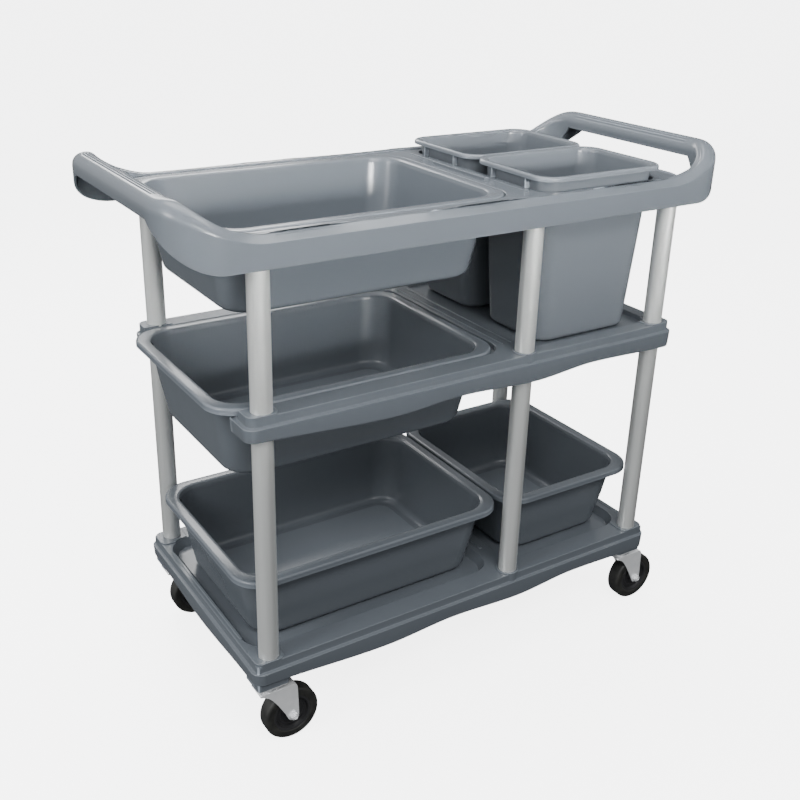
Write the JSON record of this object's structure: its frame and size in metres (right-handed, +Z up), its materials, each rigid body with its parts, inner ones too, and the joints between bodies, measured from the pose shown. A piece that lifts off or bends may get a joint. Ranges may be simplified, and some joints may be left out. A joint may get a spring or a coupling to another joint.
{
  "type": "food service trolley",
  "caption": "Three-tier food service trolley: moulded shelves on aluminium posts, upswept end handles, lift-out tubs and tall waste bins, swivel casters.",
  "frame": {"origin": "on the floor, midway between the end posts and between the front and rear posts", "axes": "+Z up; +X along the trolley from the tub end to the bin end; -Y is the front side"},
  "size_m": [1.204, 0.536, 1.061],
  "materials": {
    "shelf_plastic": "mid-grey moulded plastic, softly glossy",
    "tub_plastic": "mid-grey moulded plastic, softly glossy",
    "bin_plastic": "mid-grey moulded plastic, softly glossy",
    "post_aluminium": "satin anodised tube",
    "zinc_steel": "bright zinc-plated pressed steel",
    "tyre_rubber": "black rubber tread",
    "hub_plastic": "black wheel centre"
  },
  "bodies": {
    "frame": {"top_shelf": "shelf_plastic", "middle_shelf": "shelf_plastic", "bottom_shelf": "shelf_plastic", "lower_tube_front_left": "post_aluminium", "lower_tube_front_middle": "post_aluminium", "lower_tube_front_right": "post_aluminium", "lower_tube_rear_left": "post_aluminium", "lower_tube_rear_middle": "post_aluminium", "lower_tube_rear_right": "post_aluminium", "upper_tube_front_left": "post_aluminium", "upper_tube_front_middle": "post_aluminium", "upper_tube_front_right": "post_aluminium", "upper_tube_rear_left": "post_aluminium", "upper_tube_rear_middle": "post_aluminium", "upper_tube_rear_right": "post_aluminium", "plate_front_left": "zinc_steel", "race_front_left": "zinc_steel", "kingpin_front_left": "zinc_steel", "plate_front_right": "zinc_steel", "race_front_right": "zinc_steel", "kingpin_front_right": "zinc_steel", "plate_rear_left": "zinc_steel", "race_rear_left": "zinc_steel", "kingpin_rear_left": "zinc_steel", "plate_rear_right": "zinc_steel", "race_rear_right": "zinc_steel", "kingpin_rear_right": "zinc_steel"},
    "swivel_front_left": {"fork_front_left": "zinc_steel", "axle_front_left": "zinc_steel", "axle_nut_front_left": "zinc_steel"},
    "wheel_front_left": {"tyre_front_left": "tyre_rubber", "hub_front_left": "hub_plastic"},
    "swivel_front_right": {"fork_front_right": "zinc_steel", "axle_front_right": "zinc_steel", "axle_nut_front_right": "zinc_steel"},
    "wheel_front_right": {"tyre_front_right": "tyre_rubber", "hub_front_right": "hub_plastic"},
    "swivel_rear_left": {"fork_rear_left": "zinc_steel", "axle_rear_left": "zinc_steel", "axle_nut_rear_left": "zinc_steel"},
    "wheel_rear_left": {"tyre_rear_left": "tyre_rubber", "hub_rear_left": "hub_plastic"},
    "swivel_rear_right": {"fork_rear_right": "zinc_steel", "axle_rear_right": "zinc_steel", "axle_nut_rear_right": "zinc_steel"},
    "wheel_rear_right": {"tyre_rear_right": "tyre_rubber", "hub_rear_right": "hub_plastic"},
    "top_tub": {"top_tub": "tub_plastic"},
    "middle_tub": {"middle_tub": "tub_plastic"},
    "lower_large_tub": {"lower_large_tub": "tub_plastic"},
    "lower_medium_tub": {"lower_medium_tub": "tub_plastic"},
    "front_bin": {"front_bin": "bin_plastic"},
    "rear_bin": {"rear_bin": "bin_plastic"}
  },
  "joints": [
    {"name": "caster_swivel_front_left", "type": "hinge", "parent": "frame", "child": "swivel_front_left", "pos_m": [-0.45, -0.232, 0.13], "axis": [0, 0, 1], "continuous": true},
    {"name": "wheel_spin_front_left", "type": "hinge", "parent": "swivel_front_left", "child": "wheel_front_left", "pos_m": [-0.407, -0.232, 0.056], "axis": [0, 1, 0], "continuous": true},
    {"name": "caster_swivel_front_right", "type": "hinge", "parent": "frame", "child": "swivel_front_right", "pos_m": [0.45, -0.232, 0.13], "axis": [0, 0, 1], "continuous": true},
    {"name": "wheel_spin_front_right", "type": "hinge", "parent": "swivel_front_right", "child": "wheel_front_right", "pos_m": [0.493, -0.232, 0.056], "axis": [0, 1, 0], "continuous": true},
    {"name": "caster_swivel_rear_left", "type": "hinge", "parent": "frame", "child": "swivel_rear_left", "pos_m": [-0.45, 0.232, 0.13], "axis": [0, 0, 1], "continuous": true},
    {"name": "wheel_spin_rear_left", "type": "hinge", "parent": "swivel_rear_left", "child": "wheel_rear_left", "pos_m": [-0.407, 0.232, 0.056], "axis": [0, 1, 0], "continuous": true},
    {"name": "caster_swivel_rear_right", "type": "hinge", "parent": "frame", "child": "swivel_rear_right", "pos_m": [0.45, 0.232, 0.13], "axis": [0, 0, 1], "continuous": true},
    {"name": "wheel_spin_rear_right", "type": "hinge", "parent": "swivel_rear_right", "child": "wheel_rear_right", "pos_m": [0.493, 0.232, 0.056], "axis": [0, 1, 0], "continuous": true},
    {"name": "top_tub_lift", "type": "slide", "parent": "frame", "child": "top_tub", "axis": [0, 0, 1], "range_m": [0, 0.25]},
    {"name": "middle_tub_lift", "type": "slide", "parent": "frame", "child": "middle_tub", "axis": [0, 0, 1], "range_m": [0, 0.12]},
    {"name": "lower_large_tub_lift", "type": "slide", "parent": "frame", "child": "lower_large_tub", "axis": [0, 0, 1], "range_m": [0, 0.15]},
    {"name": "lower_medium_tub_lift", "type": "slide", "parent": "frame", "child": "lower_medium_tub", "axis": [0, 0, 1], "range_m": [0, 0.2]},
    {"name": "front_bin_lift", "type": "slide", "parent": "frame", "child": "front_bin", "axis": [0, 0, 1], "range_m": [0, 0.3]},
    {"name": "rear_bin_lift", "type": "slide", "parent": "frame", "child": "rear_bin", "axis": [0, 0, 1], "range_m": [0, 0.3]}
  ]
}
